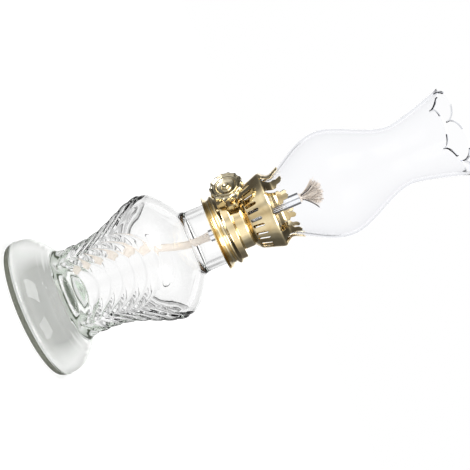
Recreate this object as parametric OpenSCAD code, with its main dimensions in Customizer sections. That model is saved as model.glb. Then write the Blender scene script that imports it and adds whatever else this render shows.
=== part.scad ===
// Small table kerosene lamp: a pressed-glass oil font, a brass screw-on burner
// with a round wick and its raiser, and a blown-glass chimney held by prongs.
// Millimetres, +Z up, origin on the floor under the middle of the foot.
// The thumb knob points along -Y.

/* [Glass font] */
// Largest diameter of the foot
foot_d = 63.2; // [58:0.2:70]
// Height at which the foot is widest
foot_edge = 3.2; // [2:0.2:5]
// Height at which the foot has drawn in to the waist
foot_h = 20.4; // [18:0.2:24]
// Depth of the hollow under the foot
foot_hollow = 2.4; // [1:0.2:4]
// Diameter of the waist
waist_d = 40.6; // [36:0.2:46]
// Height at which the body starts to widen again
waist_h = 27; // [24:0.5:34]
// Largest diameter of the body
belly_d = 58; // [52:0.2:62]
// Height of the largest diameter of the body
belly_h = 61; // [56:0.5:66]
// Height of the root of the neck
font_h = 77; // [74:0.5:84]
// Wall of the body, behind the ribs
font_wall = 3.4; // [2.8:0.1:4.5]
// Height of the floor of the oil chamber
floor_h = 16; // [12:0.5:20]
// Diameter of the neck under its thread
neck_d = 28.2; // [26:0.2:30]
// Wall of the neck
neck_wall = 2.9; // [2:0.1:3.5]
// Length of the neck
neck_len = 17.5; // [15:0.5:22]

/* [Pressed ribs] */
// Number of stacked ribs
rib_count = 8; // [5:1:10]
// Depth of the grooves between the ribs
rib_depth = 1.1; // [0.6:0.1:1.6]
// Depth of the grooves in the middle of the clear panels, every other one
rib_faint = 0.2; // [0.1:0.05:0.6]
// Height of the top groove above the widest part of the body, in the middle of a panel
rib_over = 2.3; // [1:0.1:3]
// Drop of the top groove from the middle of a panel to its edge
rib_arch = 11.8; // [4:0.2:14]
// Number of panels round the body
rib_panels = 4; // [3:1:6]
// Direction of the first panel edge, in degrees
rib_turn = -5; // [-45:1:45]

/* [Screw thread] */
// Rise of the thread in one turn
thread_pitch = 4.233; // [3.5:0.001:4.6]
// How far the glass thread stands out from the neck
thread_height = 1.2; // [0.8:0.1:1.4]
// Gap between the glass thread and the groove of the collar
thread_gap = 0.5; // [0.4:0.05:0.7]

/* [Burner] */
// Thickness of the brass sheet
sheet = 0.45; // [0.35:0.05:0.6]
// Thickness of the gasket on the neck
gasket_t = 1.5; // [1:0.1:2.5]
// Height of the screw collar
collar_h = 9.15; // [8.5:0.05:11]
// Diameter of the flared lip of the collar
lip_d = 35; // [34:0.2:37]
// Diameter of the smooth band
band_d = 23.1; // [22:0.1:25]
// Height of the smooth band above the spindle
band_over = 1.65; // [1.6:0.05:3]
// Largest diameter of the pierced basket
basket_d = 34.4; // [33.6:0.2:37]
// Height of the basket up to the roots of the prongs
basket_h = 12.3; // [11:0.1:14]
// Number of pairs of slots in the basket
slot_pairs = 14; // [10:1:15]
// Width of a slot
slot_w = 1.4; // [1:0.1:1.7]
// Length of a slot
slot_len = 5.2; // [4:0.1:6]
// Number of chimney prongs
prong_count = 12; // [8:1:12]
// Length of a prong
prong_len = 8.9; // [8:0.1:11]
// Width of a prong below its tip
prong_w = 5; // [4:0.1:5.4]
// Width of the tip of a prong
tip_w = 2.9; // [2:0.1:3.4]
// Gap between the chimney and a prong
prong_gap = 0.35; // [0.3:0.05:0.6]

/* [Wick and raiser] */
// Outer diameter of the wick tube
tube_d = 5.3; // [5:0.1:6]
// Wall of the wick tube
tube_wall = 0.4; // [0.3:0.05:0.5]
// How far the tube stands above the collar
tube_up = 30.15; // [28:0.05:34]
// How far the tube hangs below the collar
tube_down = 12.4; // [10:0.2:16]
// Gap between the wick and its tube
wick_gap = 0.25; // [0.2:0.05:0.35]
// Height of the frayed end of the wick
tuft_h = 10.4; // [7:0.2:13]
// Widest diameter of the frayed end
tuft_d = 10.6; // [8:0.2:13]
// Diameter of the spindle
spindle_d = 1.8; // [1.5:0.1:2]
// Outer diameter of the toothed wheel
wheel_d = 4.6; // [4.2:0.1:4.8]
// Number of teeth on the wheel
wheel_teeth = 10; // [8:1:14]
// Diameter of the thumb knob
knob_d = 15.2; // [12:0.2:16]
// Depth of the thumb knob
knob_depth = 3.4; // [2.8:0.1:4]
// Distance of the face of the knob from the axis of the lamp
knob_reach = 21.4; // [21:0.1:25]
// Number of scallops round the knob
knob_scallops = 14; // [10:1:20]

/* [Glass chimney] */
// Height of the chimney
chimney_h = 87.35; // [78:0.05:96]
// Thickness of the chimney glass
chimney_wall = 1.2; // [0.9:0.1:1.6]
// Diameter of the foot of the chimney
chimney_foot_d = 27.8; // [26.4:0.2:28]
// Largest diameter of the bulb
bulb_d = 48.3; // [42:0.2:54]
// Height of the bulb above the foot of the chimney
bulb_h = 30.15; // [27:0.05:34]
// Diameter of the throat
throat_d = 27.3; // [24:0.1:32]
// Height of the throat above the foot of the chimney
throat_h = 61.75; // [56:0.05:66]
// Diameter of the rim
rim_d = 41.2; // [36:0.2:46]
// Number of scallops on the rim, an even number
rim_scallops = 6; // [4:2:8]
// Depth of the notches between the scallops
notch_depth = 4.6; // [2:0.1:6]
// Direction of the first notch, in degrees
notch_turn = 55; // [0:1:60]

/* [Hidden] */
$fn = 96;

// Colours
brass = [0.80, 0.62, 0.27];
pale_brass = [0.86, 0.75, 0.47];
steel = [0.72, 0.73, 0.74];
clear_glass = [0.82, 0.87, 0.85, 0.45];
cotton = [0.93, 0.87, 0.80];
cork = [0.62, 0.47, 0.33];

// Clearances: a fixed fit, a running fit, room round the toothed wheel, and a cut that runs past a face
fixed_fit = 0.05;
running_fit = 0.05;
wheel_room = 0.35;
past = 1;

// Heights
seat_drop = 0.85;
neck_top = font_h + neck_len;
plate_z = neck_top + gasket_t;
collar_top = plate_z + sheet;
collar_low = collar_top - collar_h;
spindle_z = collar_top + sheet + wheel_room + wheel_d / 2;
band_top = spindle_z + band_over;
notch_z = band_top + basket_h;
prong_top = notch_z + prong_len;
seat_top = notch_z - seat_drop;
tube_top = collar_top + tube_up;
tube_low = collar_top - tube_down;

// Radii
neck_r = neck_d / 2;
bore_r = neck_r - neck_wall;
tube_r = tube_d / 2;
wick_r = tube_r - tube_wall - wick_gap;
skirt_gap = 0.4;
skirt_in = neck_r + skirt_gap;
skirt_r = skirt_in + sheet;
band_r = band_d / 2;
spindle_r = spindle_d / 2;

// Curves
function smooth(u) = u * u * (3 - 2 * u);
function mix(a, b, u) = a + (b - a) * u;

// One point of a curve that passes through the points p, between p[i] and p[i + 1]
function between(p, i, u) = let (
        a = p[max(i - 1, 0)],
        b = p[i],
        c = p[i + 1],
        d = p[min(i + 2, len(p) - 1)])
    0.5 * (2 * b + (c - a) * u + (2 * a - 5 * b + 4 * c - d) * u * u + (3 * b - a - 3 * c + d) * u * u * u);
function through(p, steps = 4) = [
    for (i = [0 : len(p) - 2]) for (k = [0 : steps - 1]) between(p, i, k / steps),
    p[len(p) - 1]];

// Outline of a bent sheet: the points p are its outer face, and its inner face lies t to the left
function left_of(a, b) = let (d = b - a) [-d[1], d[0]] / norm(d);
function inner_face(p, t) = [for (i = [0 : len(p) - 1])
    let (n = left_of(p[max(i - 1, 0)], p[min(i + 1, len(p) - 1)])) p[i] + t * n];
function reversed(p) = [for (i = [len(p) - 1 : -1 : 0]) p[i]];
function bent_sheet(p, t) = concat(p, reversed(inner_face(p, t)));

// Glass font
foot_round = 1.4;
foot_ring = 24;
foot_sweep = 1.6;
body_sweep = 1.3;
shoulder_sweep = 1.85;
floor_round = 8;
rib_down = 3.6;
rib_up = 1.7;
rib_low = foot_h - rib_down;
rib_top = belly_h + rib_over;
rib_high = rib_top + rib_up;
rib_ledge = 0.3;
rib_sink = 0.5;
rib_crowd = 1.35;
profile_steps = 14;
chamber_r = waist_d / 2 - font_wall;
shoulder_low = font_h - font_wall * 0.6;
chamber_low = max(waist_h, floor_h + floor_round);

function foot_r(z) = z <= foot_edge
    ? foot_d / 2 - foot_round * (1 - sqrt(1 - pow(1 - z / foot_edge, 2)))
    : mix(foot_d, waist_d, smooth(pow((z - foot_edge) / (foot_h - foot_edge), foot_sweep))) / 2;
function body_r(z) = z <= waist_h
    ? waist_d / 2
    : mix(waist_d, belly_d, smooth(pow((z - waist_h) / (belly_h - waist_h), body_sweep))) / 2;
function shoulder_r(z) = mix(belly_d, neck_d, pow((z - belly_h) / (font_h - belly_h), shoulder_sweep)) / 2;
function font_r(z) = z < foot_h ? foot_r(z) : z < belly_h ? body_r(z) : shoulder_r(z);

function chamber_shoulder_r(z) =
    mix(belly_d / 2 - font_wall, bore_r, pow((z - belly_h) / (shoulder_low - belly_h), shoulder_sweep));
function chamber_floor_r(z) =
    chamber_r * sqrt(max(0, 1 - pow((floor_h + floor_round - z) / floor_round, 2)));

// Ribs: each column of points runs from the foot to the shoulder, and crosses one groove
// after the other. The grooves dip at the panel edges, where they crowd towards the foot, and
// arch between them. They are deep on the side panels and fade on the front and back ones.
rib_side_steps = 14;
rib_columns = rib_panels * rib_side_steps;
rib_rows = 3 * rib_count;
crown_rows = 3;
function rib_angle(j) = rib_turn + 360 * j / rib_columns;
function arch(j) = abs(sin(180 * j / rib_side_steps));
function rib_share(i, j) = mix(pow(i / rib_rows, rib_crowd), i / rib_rows, arch(j));
function groove_z(i, j) = mix(rib_low + rib_ledge, rib_top - rib_arch * (1 - arch(j)), rib_share(i, j));
function crown_z(k, j) = mix(groove_z(rib_rows, j), rib_high + rib_sink, k / crown_rows);
function rib_point(r, j, z) = [r * cos(rib_angle(j)), r * sin(rib_angle(j)), z];
function clear_panel(j) = floor(j / rib_side_steps) % 2 == 1;
function rib_cut(j) = clear_panel(j) ? mix(rib_depth, rib_faint, smooth(arch(j))) : rib_depth;
function rib_relief(i, j) = rib_cut(j) * (i % 3 == 0 ? 1 : 0.12);
function font_rows() = concat(
    [[for (j = [0 : rib_columns - 1]) rib_point(foot_r(rib_low) - 2 * rib_depth, j, rib_low - rib_sink)]],
    [for (i = [0 : rib_rows]) [for (j = [0 : rib_columns - 1])
        let (z = groove_z(i, j)) rib_point(font_r(z) - rib_relief(i, j), j, z)]],
    [for (k = [1 : crown_rows]) [for (j = [0 : rib_columns - 1])
        let (z = crown_z(k, j)) rib_point(font_r(z) - rib_ledge * k / crown_rows, j, z)]]);

// A closed solid from rings of points, each ring with n points
module loft(rows) {
    n = len(rows[0]);
    last = len(rows) - 1;
    points = [for (row = rows) for (p = row) p];
    sides = [for (i = [0 : last - 1]) for (j = [0 : n - 1])
        let (a = i * n + j, b = i * n + (j + 1) % n)
        each [[a, a + n, b], [b, a + n, b + n]]];
    low_cap = [for (j = [1 : n - 2]) [0, j, j + 1]];
    high_cap = [for (j = [1 : n - 2]) [last * n, last * n + j + 1, last * n + j]];
    polyhedron(points, concat(sides, low_cap, high_cap));
}

module turned(outline) {
    rotate_extrude() polygon(outline);
}

// Thread: a ridge on a helix that climbs thread_pitch a turn, from the angle a0 to a1. Its ends fade out,
// but the low end of an open ridge keeps its full height.
thread_drop = 3.88;
thread_z = plate_z - thread_drop;
thread_step = 12;
thread_fade = 40;
thread_end_share = 0.3;
function thread_ends(a, a0, a1) = min(1, (a - a0) / thread_fade, (a1 - a) / thread_fade);
function thread_ring(a, r_low, r_high, w_low, w_high) =
    let (z = thread_z + thread_pitch * a / 360, c = cos(a), s = sin(a))
    [[r_low * c, r_low * s, z - w_low], [r_low * c, r_low * s, z + w_low],
     [r_high * c, r_high * s, z + w_high], [r_high * c, r_high * s, z - w_high]];
module thread_ridge(a0, a1, r_low, r_high, w_low, w_high, open = false) {
    loft([for (a = [a0 : thread_step : a1])
        let (f = max(thread_end_share, thread_ends(a, open ? a0 - thread_fade : a0, a1)))
        thread_ring(a, r_low, mix(r_low, r_high, f), w_low, w_high)]);
}
glass_thread_r = neck_r + thread_height;
groove_r = glass_thread_r + thread_gap;
ridge_r = groove_r + sheet;
root_sink = 0.3;
thread_foot = 1.2;
thread_crest = 0.45;
groove_spread = 0.25;
ridge_spread = 0.8;
groove_foot = thread_foot + groove_spread;
groove_crest = thread_crest + groove_spread;
ridge_foot = groove_foot + ridge_spread;
ridge_crest = groove_crest + 0.1;

module foot_solid() {
    turned(concat(
        [for (k = [0 : 8]) let (u = k / 8) [foot_ring * u, foot_hollow * (1 - u * u)]],
        [for (k = [0 : 6]) let (z = foot_edge * k / 6) [foot_r(z), z]],
        [for (k = [1 : profile_steps]) let (z = mix(foot_edge, rib_low, k / profile_steps)) [foot_r(z), z]],
        [[0, rib_low]]));
}

module shoulder_solid() {
    turned(concat(
        [[0, rib_high]],
        [for (k = [0 : profile_steps])
            let (z = mix(rib_high, font_h, k / profile_steps)) [shoulder_r(z), z]],
        [[neck_r, neck_top], [0, neck_top]]));
}

module oil_chamber() {
    turned(concat(
        [for (k = [0 : 8]) let (z = floor_h + floor_round * (1 - cos(90 * k / 8))) [chamber_floor_r(z), z]],
        [for (k = [1 : profile_steps])
            let (z = mix(chamber_low, belly_h, k / profile_steps)) [body_r(z) - font_wall, z]],
        [for (k = [1 : profile_steps])
            let (z = mix(belly_h, shoulder_low, k / profile_steps)) [chamber_shoulder_r(z), z]],
        [[bore_r, neck_top + past], [0, neck_top + past]]));
}

module glass_font() {
    color(clear_glass) difference() {
        union() {
            foot_solid();
            loft(font_rows());
            shoulder_solid();
            thread_ridge(-300, 60, neck_r - 2 * root_sink, glass_thread_r, thread_foot, thread_crest);
        }
        oil_chamber();
    }
}

// Gasket between the neck and the plate of the collar
gasket_inset = 0.2;
module neck_gasket() {
    color(cork) translate([0, 0, neck_top]) difference() {
        cylinder(r = neck_r - gasket_inset, h = gasket_t);
        translate([0, 0, -past]) cylinder(r = bore_r + gasket_inset, h = gasket_t + 2 * past);
    }
}

// Screw collar: skirt with a rolled thread, flared lip, and a plate with the tube hole and a vent
flare_h = 2.5;
vent_r = 0.8;
vent_at = 6.4;
module screw_collar() {
    skirt_low = collar_low + flare_h;
    lip = [[lip_d / 2, collar_low], [mix(skirt_r, lip_d / 2, 0.45), mix(collar_low, skirt_low, 0.27)],
           [mix(skirt_r, lip_d / 2, 0.08), mix(collar_low, skirt_low, 0.58)], [skirt_r, skirt_low]];
    outer = concat(through(lip), [[skirt_r, collar_top]]);
    inner = inner_face(outer, sheet);
    color(brass) difference() {
        union() {
            turned(concat([[0, collar_low]], outer, [[0, collar_top]]));
            thread_ridge(-444, 132, skirt_in - root_sink, ridge_r, ridge_foot, ridge_crest, open = true);
        }
        turned(concat(
            [[0, collar_low - past], [inner[0][0], collar_low - past]],
            [for (i = [0 : len(inner) - 2]) inner[i]],
            [[skirt_in, plate_z], [0, plate_z]]));
        translate([0, 0, -past]) cylinder(d = 2 * lip_d, h = collar_low + past);
        thread_ridge(-468, 108, skirt_in - root_sink, groove_r, groove_foot, groove_crest, open = true);
        translate([0, 0, plate_z - past]) cylinder(r = tube_r + fixed_fit, h = sheet + 2 * past);
        translate([0, vent_at, plate_z - past]) cylinder(r = vent_r, h = sheet + 2 * past);
    }
}

// Smooth band on the collar, with a turned-in foot and the hole of the spindle bush
bush_wall = 0.4;
bush_r = spindle_r + running_fit + bush_wall;
wheel_gap = 0.2;
spindle_x = -wheel_d / 2 - wheel_gap - wick_r;
band_foot = 1.8;
module along_spindle(y) {
    translate([spindle_x, y, spindle_z]) rotate([90, 0, 0]) children();
}
module burner_band() {
    color(brass) difference() {
        translate([0, 0, collar_top]) cylinder(r = band_r, h = band_top - collar_top);
        translate([0, 0, collar_top + sheet]) cylinder(r = band_r - sheet, h = band_top - collar_top);
        translate([0, 0, collar_top - past]) cylinder(r = band_r - band_foot, h = band_top - collar_top);
        along_spindle(0) cylinder(r = bush_r + fixed_fit, h = band_d);
    }
}

// Pierced basket and prongs, drawn and pierced from one sheet
chimney_foot_r = chimney_foot_d / 2;
grip_r = chimney_foot_r + prong_gap + sheet;
tip_flare = 2.1;
tip_r = grip_r + tip_flare;
slot_z = band_top + 2.3;
slot_turn = 11;
cone_low = [mix(band_r, basket_d / 2, 0.40), band_top + 0.17 * basket_h];
cone_high = [mix(band_r, basket_d / 2, 0.84), band_top + 0.74 * basket_h];
function gallery_outline() = concat(
    [[band_r - band_foot, band_top], [band_r - 0.2, band_top], cone_low],
    through([
        cone_high,
        [basket_d / 2, notch_z],
        [mix(grip_r, basket_d / 2, 0.45), notch_z + 0.22 * prong_len],
        [grip_r, notch_z + 0.46 * prong_len],
        [mix(grip_r, tip_r, 0.42), notch_z + 0.74 * prong_len],
        [tip_r, prong_top]], 2));

// One gap between two prongs: a round-bottomed notch, and a wider gap between the tips
prong_waist = notch_z + 0.62 * prong_len;
notch_half = grip_r * sin(180 / prong_count) - prong_w / 2 + 0.25;
module prong_notch() {
    translate([0, notch_z + notch_half]) circle(r = notch_half);
    translate([-notch_half, notch_z + notch_half])
        square([2 * notch_half, prong_top - notch_z]);
}
module tip_gap() {
    middle = tip_r * sin(180 / prong_count);
    tip_round = tip_w / 2;
    side = concat(
        [[notch_half - 0.1, prong_waist], [middle - tip_round, prong_waist + 0.7]],
        [for (a = [0 : 15 : 75]) [middle - tip_round * cos(a), prong_top - tip_round * (1 - sin(a))]],
        [[middle - tip_round * cos(75), prong_top + past]]);
    polygon(concat(side, reversed([for (p = side) [-p[0], p[1]]])));
}

// Cuts a flat shape, drawn across and up, outwards from a distance to the axis
module cut_outwards(angle, from) {
    rotate([0, 0, angle]) translate([0, -from, 0]) rotate([90, 0, 0]) linear_extrude(basket_d) children();
}
module slot() {
    translate([-slot_w / 2, slot_z + slot_w / 2]) square([slot_w, slot_len - slot_w]);
    for (end = [slot_w / 2, slot_len - slot_w / 2])
        translate([0, slot_z + end]) circle(r = slot_w / 2);
}

module prong_gallery() {
    pair_step = 360 / slot_pairs;
    color(brass) difference() {
        turned(bent_sheet(gallery_outline(), sheet));
        for (i = [0 : prong_count - 1]) {
            cut_outwards((i + 0.5) * 360 / prong_count, grip_r - 2) prong_notch();
            cut_outwards((i + 0.5) * 360 / prong_count, grip_r - 0.3) tip_gap();
        }
        for (i = [0 : slot_pairs - 1]) for (side = [-1, 1])
            cut_outwards(i * pair_step + side * slot_turn / 2, band_r - 0.5) slot();
    }
}

// Pierced plate in the basket on which the chimney stands
seat_gap = 0.1;
seat_r = mix(cone_high[0], basket_d / 2, 0.55) - sheet - seat_gap;
seat_holes = 16;
seat_hole_r = 1.1;
module chimney_seat() {
    color(brass) translate([0, 0, seat_top - sheet]) difference() {
        cylinder(r = seat_r, h = sheet);
        translate([0, 0, -past]) cylinder(r = tube_r + fixed_fit, h = sheet + 2 * past);
        for (i = [0 : seat_holes - 1])
            rotate([0, 0, (i + 0.5) * 360 / seat_holes])
                translate([mix(tube_r, chimney_foot_r, 0.62), 0, -past])
                    cylinder(r = seat_hole_r, h = sheet + 2 * past);
    }
}

// Round tube of the wick, with a window for the toothed wheel
wheel_w = 1.6;
window_gap = 0.3;
module wick_tube() {
    color(steel) difference() {
        translate([0, 0, tube_low]) cylinder(r = tube_r, h = tube_top - tube_low);
        translate([0, 0, tube_low - past])
            cylinder(r = tube_r - tube_wall, h = tube_top - tube_low + 2 * past);
        translate([-tube_d, -wheel_w / 2 - window_gap, spindle_z - wheel_d / 2])
            cube([tube_d, wheel_w + 2 * window_gap, wheel_d]);
    }
}

// Ring under the plate of the collar that holds the tube
ferrule_wall = 1.3;
ferrule_h = 1.2;
module tube_ferrule() {
    color(steel) translate([0, 0, plate_z - ferrule_h]) difference() {
        cylinder(r = tube_r + fixed_fit + ferrule_wall, h = ferrule_h);
        translate([0, 0, -past]) cylinder(r = tube_r + fixed_fit, h = ferrule_h + 2 * past);
    }
}

// Bracket of the spindle: a base on the collar and two ears with bores
ear_gap = 4.8;
ear_t = sheet;
ear_w = 3.2;
ear_up = spindle_z - collar_top + spindle_r + 0.6;
module raiser_bracket() {
    color(brass) difference() {
        union() {
            translate([spindle_x - ear_w / 2, -ear_gap / 2 - ear_t, collar_top])
                cube([ear_w, ear_gap + 2 * ear_t, sheet]);
            for (y = [-ear_gap / 2 - ear_t, ear_gap / 2])
                translate([spindle_x - ear_w / 2, y, collar_top]) cube([ear_w, ear_t, ear_up]);
        }
        along_spindle(ear_gap) cylinder(r = spindle_r + running_fit, h = 2 * ear_gap);
    }
}

// Bush of the spindle in the wall of the band
bush_flange = 0.45;
bush_face = band_r + 0.1;
bush_in = 3;
module spindle_bush() {
    color(brass) difference() {
        union() {
            along_spindle(bush_in - band_r) cylinder(r = bush_r, h = bush_face - band_r + bush_in);
            along_spindle(-bush_face) cylinder(r = bush_r + bush_wall, h = bush_flange);
        }
        along_spindle(0) cylinder(r = spindle_r + running_fit, h = 2 * band_r);
    }
}

// Spindle, with its inner end just past the clip
clip_gap = 0.1;
clip_t = 0.5;
clip_y = ear_gap / 2 + ear_t + clip_gap;
spindle_end = clip_y + clip_t + 0.4;
rivet_h = 0.9;
rivet_r = 1.8;
module raiser_spindle() {
    color(steel) along_spindle(spindle_end) cylinder(r = spindle_r, h = spindle_end + knob_reach - rivet_h);
}

// Toothed wheel that bites the wick
tooth_h = 0.6;
module raiser_wheel() {
    r = wheel_d / 2;
    step = 360 / wheel_teeth;
    color(brass) along_spindle(wheel_w / 2) difference() {
        linear_extrude(wheel_w) polygon([for (i = [0 : wheel_teeth - 1])
            each [r * [cos(i * step), sin(i * step)],
                  (r - tooth_h) * [cos((i + 0.5) * step), sin((i + 0.5) * step)]]]);
        translate([0, 0, -past]) cylinder(r = spindle_r + fixed_fit, h = wheel_w + 2 * past);
    }
}

// Clip that keeps the spindle in its bracket
module spindle_clip() {
    color(steel) along_spindle(clip_y + clip_t) difference() {
        cylinder(r = spindle_r + 0.7, h = clip_t);
        translate([0, 0, -past]) cylinder(r = spindle_r + fixed_fit, h = clip_t + 2 * past);
        translate([-0.4, 0, -past]) cube([0.8, spindle_d, clip_t + 2 * past]);
    }
}

// Thumb knob: a dished disc with a thick scalloped rim and a raised ring, on a hub
knob_r = knob_d / 2;
rim_back = 0.8;
rim_round = 0.3;
dish = 0.65;
ring_r = 0.62 * knob_r;
ring_h = 0.3;
recess = 1.5;
hub_r = spindle_r + 0.9;
scallop_r = 2.2;
scallop_depth = 0.55;
module thumb_knob() {
    face = knob_depth - dish;
    hub_top = knob_depth - rivet_h;
    color(pale_brass) along_spindle(knob_depth - knob_reach) difference() {
        turned([
            [spindle_r + fixed_fit, 0],
            [hub_r, 0],
            [hub_r, rim_back],
            [ring_r, rim_back + ring_h],
            [knob_r - 2 * rim_round, rim_back],
            [knob_r, rim_back + rim_round],
            [knob_r, knob_depth - rim_round],
            [knob_r - rim_round, knob_depth],
            [knob_r - 2 * rim_round, knob_depth],
            [ring_r + 0.5, face],
            [ring_r + 0.3, face + ring_h],
            [ring_r - 0.2, face + ring_h],
            [ring_r - 0.6, face - ring_h],
            [hub_r + 0.5, knob_depth - recess],
            [hub_r, hub_top],
            [spindle_r + fixed_fit, hub_top]]);
        for (i = [0 : knob_scallops - 1])
            rotate([0, 0, (i + 0.5) * 360 / knob_scallops])
                translate([knob_r + scallop_r - scallop_depth, 0, -past])
                cylinder(r = scallop_r, h = knob_depth + 2 * past);
    }
}

// Domed rivet on the end of the spindle, its top level with the rim of the knob
module knob_rivet() {
    color(pale_brass) along_spindle(rivet_h - knob_reach) turned([
        [0, 0], [rivet_r, 0], [rivet_r, 0.35 * rivet_h], [0.85 * rivet_r, 0.75 * rivet_h],
        [0.55 * rivet_r, rivet_h], [0.35 * rivet_r, 0.8 * rivet_h], [0, 0.7 * rivet_h]]);
}

// Wick: the stretch in the tube, the frayed end above it and the free end in the font
wick_top = tube_top + 0.8;
wick_low = tube_low - 2;
module wick() {
    color(cotton) translate([0, 0, wick_low]) cylinder(r = wick_r, h = wick_top - wick_low);
}
module wick_tuft() {
    color(cotton) translate([0, 0, wick_top]) turned(concat(
        [[0, 0]],
        through([[wick_r, 0], [wick_r, 0.16 * tuft_h], [mix(wick_r, tuft_d / 2, 0.45), 0.5 * tuft_h],
                 [mix(wick_r, tuft_d / 2, 0.9), 0.82 * tuft_h], [tuft_d / 2, 0.92 * tuft_h]]),
        [[0.75 * tuft_d / 2, 0.98 * tuft_h], [0, tuft_h]]));
}

// The free end hangs from the tube, leans to one side of the chamber and ends just above its floor.
// Its points are measured down from the lower end of the wick.
tail_points = [[0, 0, 0], [0, 0, -4], [-0.1, -0.1, -8], [-1, -0.9, -13], [-2.5, -2.2, -19],
               [-4.3, -3.7, -26], [-5.9, -5.1, -33], [-7.1, -6.2, -40], [-7.7, -6.7, -47],
               [-7.8, -6.8, -53], [-7.4, -6.2, -58], [-6.6, -5.4, -60.5]];
tail_sides = 8;
tail_r = 1.8;
function tail_way(i) = let (
        n = len(tail_points) - 1,
        d = i == 0 ? [0, 0, -1] : tail_points[min(i + 1, n)] - tail_points[i - 1])
    d / norm(d);
function tail_ring(i) = let (
        w = tail_way(i),
        a = cross(w, [0, 1, 0]) / norm(cross(w, [0, 1, 0])),
        b = cross(w, a))
    [for (k = [0 : tail_sides - 1])
        let (t = 360 * k / tail_sides)
        tail_points[i] + [0, 0, wick_low] + tail_r * (a * cos(t) + b * sin(t))];
module wick_tail() {
    color(cotton) loft([for (i = [0 : len(tail_points) - 1]) tail_ring(i)]);
}

// Glass chimney
foot_straight = 5;
bulb_sweep = 0.76;
rim_sweep = 1.25;
lobe_flat = 0.8;
chimney_steps = 16;
function chimney_r(h) = h <= foot_straight
    ? chimney_foot_r
    : h <= bulb_h
    ? mix(chimney_foot_d, bulb_d,
        smooth(pow((h - foot_straight) / (bulb_h - foot_straight), bulb_sweep))) / 2
    : h <= throat_h
    ? mix(bulb_d, throat_d, smooth((h - bulb_h) / (throat_h - bulb_h))) / 2
    : mix(throat_d, rim_d, pow((h - throat_h) / (chimney_h - throat_h), rim_sweep)) / 2;
function chimney_outline() = [
    [chimney_foot_r, 0],
    for (part = [[foot_straight, bulb_h], [bulb_h, throat_h], [throat_h, chimney_h]])
        for (k = [0 : chimney_steps - 1])
            let (h = mix(part[0], part[1], k / chimney_steps)) [chimney_r(h), h],
    [rim_d / 2, chimney_h]];

// A pair of opposite notches in the rim: each side of a notch is a quarter of an ellipse,
// and a short flat is left on top of each scallop
module rim_notches() {
    half = rim_d / 2 * sin(180 / rim_scallops) - lobe_flat / 2;
    low = chimney_h - notch_depth;
    side = [for (a = [0 : 10 : 90]) [half * (1 - cos(a)), low + notch_depth * sin(a)]];
    rotate([90, 0, 0]) linear_extrude(2 * rim_d, center = true) polygon(concat(
        side,
        [[half, chimney_h + past], [-half, chimney_h + past]],
        [for (i = [len(side) - 1 : -1 : 1]) [-side[i][0], side[i][1]]]));
}

module glass_chimney() {
    color(clear_glass) translate([0, 0, seat_top]) difference() {
        turned(bent_sheet(chimney_outline(), chimney_wall));
        for (i = [0 : rim_scallops / 2 - 1])
            rotate([0, 0, notch_turn - 90 + i * 360 / rim_scallops]) rim_notches();
    }
}

glass_font();
neck_gasket();
screw_collar();
burner_band();
prong_gallery();
chimney_seat();
wick_tube();
tube_ferrule();
raiser_bracket();
spindle_bush();
raiser_spindle();
raiser_wheel();
spindle_clip();
thumb_knob();
knob_rivet();
wick();
wick_tuft();
wick_tail();
glass_chimney();
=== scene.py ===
"""Looks of a small table kerosene lamp: pressed-glass font, brass screw burner, wick and glass chimney.

Sizes are in millimetres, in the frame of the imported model: +Z up, the thumb knob along -Y.
"""

import math
import random

import bpy
import numpy as np
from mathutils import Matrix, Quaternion, Vector


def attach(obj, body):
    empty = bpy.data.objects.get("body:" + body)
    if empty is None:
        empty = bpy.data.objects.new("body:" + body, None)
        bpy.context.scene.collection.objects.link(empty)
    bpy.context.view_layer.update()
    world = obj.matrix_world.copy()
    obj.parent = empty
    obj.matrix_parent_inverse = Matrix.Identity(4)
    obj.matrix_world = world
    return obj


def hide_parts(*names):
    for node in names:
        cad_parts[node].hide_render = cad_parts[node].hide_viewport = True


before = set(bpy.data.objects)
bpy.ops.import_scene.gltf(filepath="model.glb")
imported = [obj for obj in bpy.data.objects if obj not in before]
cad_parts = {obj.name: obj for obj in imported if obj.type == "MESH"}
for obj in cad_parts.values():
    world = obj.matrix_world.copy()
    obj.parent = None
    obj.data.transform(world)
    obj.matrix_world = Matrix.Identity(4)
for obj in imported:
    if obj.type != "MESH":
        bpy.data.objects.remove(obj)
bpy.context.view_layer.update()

MM = 0.001
random.seed(7)

# Camera
CAMERA_AZIMUTH = 41.0
CAMERA_DISTANCE = 450.0
CAMERA_HEIGHT = 120.0
AIM_HEIGHT = 94.3
AIM_ASIDE = 3.85
CAMERA_ROLL = 66.87
CAMERA_LENS = 78.8
CAMERA_SENSOR = 36.0

# Studio, in metres; stops of (place, brightness) round the horizon, and up from straight below
DOME_R = 1.5
FLOOR_SIZE = 12.0
FLOOR_GREY = 0.82
FLOOR_GLOW = 0.4
METAL_SIDES = [(0, 1), (0.05, 0.9), (0.08, 0.14), (0.2, 0.12), (0.26, 0.2), (0.3, 0.5), (0.33, 1),
               (0.38, 1), (0.42, 0.6), (0.46, 0.95), (0.5, 0.7), (0.54, 0.95), (0.6, 1), (0.65, 1),
               (0.69, 0.6), (0.74, 0.24), (0.8, 0.12), (0.92, 0.14), (0.95, 0.9), (1, 1)]
METAL_UP = [(0, 0.4), (0.12, 0.8), (0.2, 1.05), (0.3, 0.9), (0.42, 0.9), (0.5, 1.2), (0.58, 1.7),
            (0.68, 1.4), (0.8, 0.6), (1, 0.35)]
METAL_REACH = [(0, 1), (1, 1)]
METAL_INSIDE = 1.0
GLASS_SIDES = [(0, 1), (0.045, 1), (0.065, 0.64), (0.095, 0.64), (0.125, 1), (0.87, 1), (0.905, 0.52),
               (0.94, 0.52), (0.958, 1), (1, 1)]
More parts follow.
